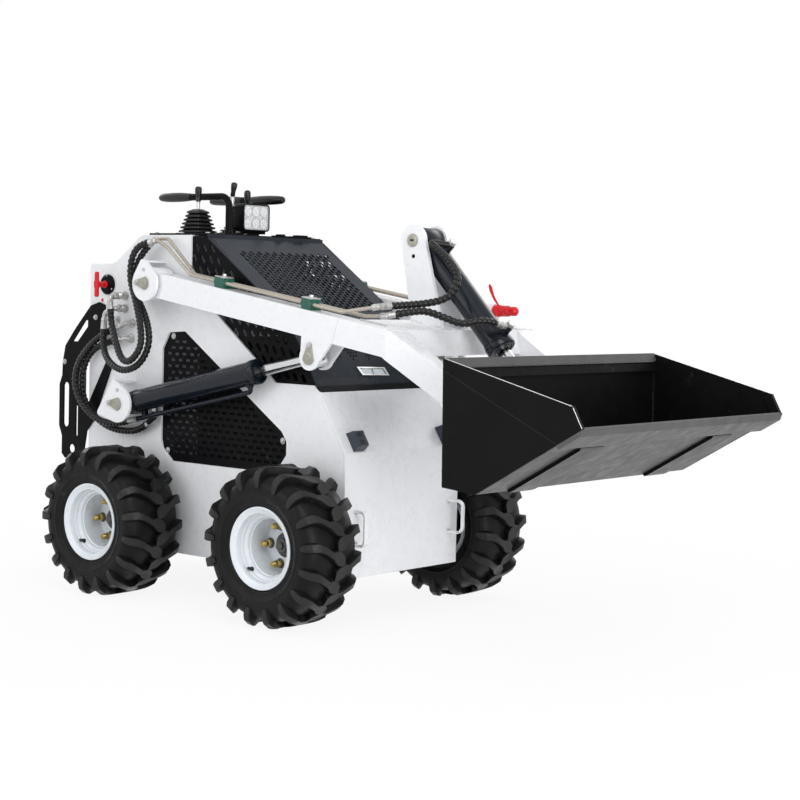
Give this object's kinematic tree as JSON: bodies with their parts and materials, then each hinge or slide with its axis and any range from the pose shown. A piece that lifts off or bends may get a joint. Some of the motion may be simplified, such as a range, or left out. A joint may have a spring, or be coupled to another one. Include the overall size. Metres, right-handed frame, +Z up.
{
  "type": "skid steer loader",
  "caption": "Compact stand-on skid steer loader: wheeled box chassis with perforated hood, raised lift arms, hydraulic cylinders and an open-front bucket.",
  "frame": {"origin": "middle of the machine's bounding box in plan, at ground level", "axes": "+X forward towards the bucket, +Y to the left of an operator facing forward, +Z up"},
  "size_m": [2.326, 1.002, 1.2883],
  "materials": {
    "black_paint": "satin",
    "black_rubber": "matte",
    "bucket_black": "matte",
    "cast_iron": "matte",
    "chrome": "mirror",
    "dark_steel": "satin",
    "green_plastic": "matte",
    "hood_paint": "gloss",
    "hose": "matte",
    "lamp": "gloss",
    "plated_steel": "satin",
    "red_plastic": "gloss",
    "slate_paint": "gloss",
    "tyre": "matte",
    "wheel_white": "gloss",
    "white_paint": "gloss",
    "zinc": "satin"
  },
  "bodies": {
    "chassis": {"access_panels": "black_paint", "arm_brackets": "white_paint", "arm_hoses_left": "hose", "arm_hoses_right": "hose", "battery_switch": "red_plastic", "bulkhead_fittings": "plated_steel", "chassis_pins": "zinc", "console_plate": "black_paint", "control_levers": "dark_steel", "cylinder_hoses_left": "hose", "cylinder_hoses_right": "hose", "engine_block": "cast_iron", "floor_plates": "white_paint", "grab_handles": "white_paint", "handlebars": "black_rubber", "hood": "hood_paint", "hood_side_panels": "black_paint", "lamps": "lamp", "lever_boots": "black_rubber", "nose_plate": "white_paint", "rear_cover": "white_paint", "rear_guards": "black_paint", "rear_panel": "white_paint", "side_plates": "white_paint", "step_lugs": "black_paint", "stop_blocks": "black_rubber", "tilt_hoses": "hose", "wheel_motors": "cast_iron"},
    "wheel_front_right": {"tyre_front_right": "tyre", "rim_front_right": "wheel_white", "hub_front_right": "dark_steel"},
    "wheel_front_left": {"tyre_front_left": "tyre", "rim_front_left": "wheel_white", "hub_front_left": "dark_steel"},
    "wheel_rear_right": {"tyre_rear_right": "tyre", "rim_rear_right": "wheel_white", "hub_rear_right": "dark_steel"},
    "wheel_rear_left": {"tyre_rear_left": "tyre", "rim_rear_left": "wheel_white", "hub_rear_left": "dark_steel"},
    "lift_barrel_right_body": {"lift_barrel_right": "slate_paint"},
    "lift_rod_right_body": {"lift_rod_right": "chrome"},
    "lift_barrel_left_body": {"lift_barrel_left": "slate_paint"},
    "lift_rod_left_body": {"lift_rod_left": "chrome"},
    "arm": {"lift_arm_right": "white_paint", "lift_arm_left": "white_paint", "cross_member": "white_paint", "tilt_tower": "white_paint", "arm_pins": "zinc", "arm_pipes": "plated_steel", "pipe_clamps": "green_plastic", "aux_coupler": "plated_steel"},
    "tilt_barrel_body": {"tilt_barrel": "slate_paint"},
    "tilt_rod_body": {"tilt_rod": "chrome"},
    "attachment": {"attach_plate": "black_paint", "attach_pins": "zinc", "bucket": "bucket_black", "cutting_edge": "bucket_black", "skid_strips": "bucket_black"},
    "step": {"rear_step": "black_paint"}
  },
  "joints": [
    {"name": "wheel_front_right_spin", "type": "hinge", "parent": "chassis", "child": "wheel_front_right", "pos_m": [0.082, -0.392, 0.23], "axis": [0, 1, 0], "continuous": true},
    {"name": "wheel_front_left_spin", "type": "hinge", "parent": "chassis", "child": "wheel_front_left", "pos_m": [0.082, 0.392, 0.23], "axis": [0, 1, 0], "continuous": true},
    {"name": "wheel_rear_right_spin", "type": "hinge", "parent": "chassis", "child": "wheel_rear_right", "pos_m": [-0.648, -0.392, 0.23], "axis": [0, 1, 0], "continuous": true},
    {"name": "wheel_rear_left_spin", "type": "hinge", "parent": "chassis", "child": "wheel_rear_left", "pos_m": [-0.648, 0.392, 0.23], "axis": [0, 1, 0], "continuous": true},
    {"name": "arm_lift", "type": "hinge", "parent": "chassis", "child": "arm", "pos_m": [-0.56, 0, 0.962], "axis": [0, -1, 0], "range_deg": [-19.5, 55], "deforming": ["arm_hoses_right", "arm_hoses_left"]},
    {"name": "bucket_tilt", "type": "hinge", "parent": "arm", "child": "attachment", "pos_m": [0.661, 0, 0.562], "axis": [0, 1, 0], "range_deg": [-12, 75]},
    {"name": "lift_barrel_right_turn", "type": "hinge", "parent": "chassis", "child": "lift_barrel_right_body", "pos_m": [-0.678, -0.304, 0.585], "axis": [0, -1, 0], "range_deg": [-14.3, 39.42], "deforming": ["cylinder_hoses_right"]},
    {"name": "lift_rod_right_slide", "type": "slide", "parent": "lift_barrel_right_body", "child": "lift_rod_right_body", "axis": [0.9755, 0, 0.2199], "range_m": [-0.0977, 0.2737]},
    {"name": "lift_barrel_left_turn", "type": "hinge", "parent": "chassis", "child": "lift_barrel_left_body", "pos_m": [-0.678, 0.304, 0.585], "axis": [0, -1, 0], "range_deg": [-14.3, 39.42], "deforming": ["cylinder_hoses_left"]},
    {"name": "lift_rod_left_slide", "type": "slide", "parent": "lift_barrel_left_body", "child": "lift_rod_left_body", "axis": [0.9755, 0, 0.2199], "range_m": [-0.0977, 0.2737]},
    {"name": "tilt_barrel_turn", "type": "hinge", "parent": "arm", "child": "tilt_barrel_body", "pos_m": [0.259, 0, 1.105], "axis": [0, -1, 0], "range_deg": [-1.72, 8.13], "deforming": ["tilt_hoses"]},
    {"name": "tilt_rod_slide", "type": "slide", "parent": "tilt_barrel_body", "child": "tilt_rod_body", "axis": [0.6872, 0, -0.7264], "range_m": [-0.0286, 0.1738]},
    {"name": "step_fold", "type": "hinge", "parent": "chassis", "child": "step", "pos_m": [-0.949, 0, 0.202], "axis": [0, 1, 0], "range_deg": [0, 85]}
  ],
  "couplings": [
    {"joint": "lift_barrel_right_turn", "follows": "arm_lift", "ratio": 0.7077},
    {"joint": "lift_rod_right_slide", "follows": "arm_lift", "m_per_rad": 0.28404},
    {"joint": "lift_barrel_left_turn", "follows": "arm_lift", "ratio": 0.7077},
    {"joint": "lift_rod_left_slide", "follows": "arm_lift", "m_per_rad": 0.28404},
    {"joint": "tilt_barrel_turn", "follows": "bucket_tilt", "ratio": 0.1017},
    {"joint": "tilt_rod_slide", "follows": "bucket_tilt", "m_per_rad": 0.132}
  ]
}
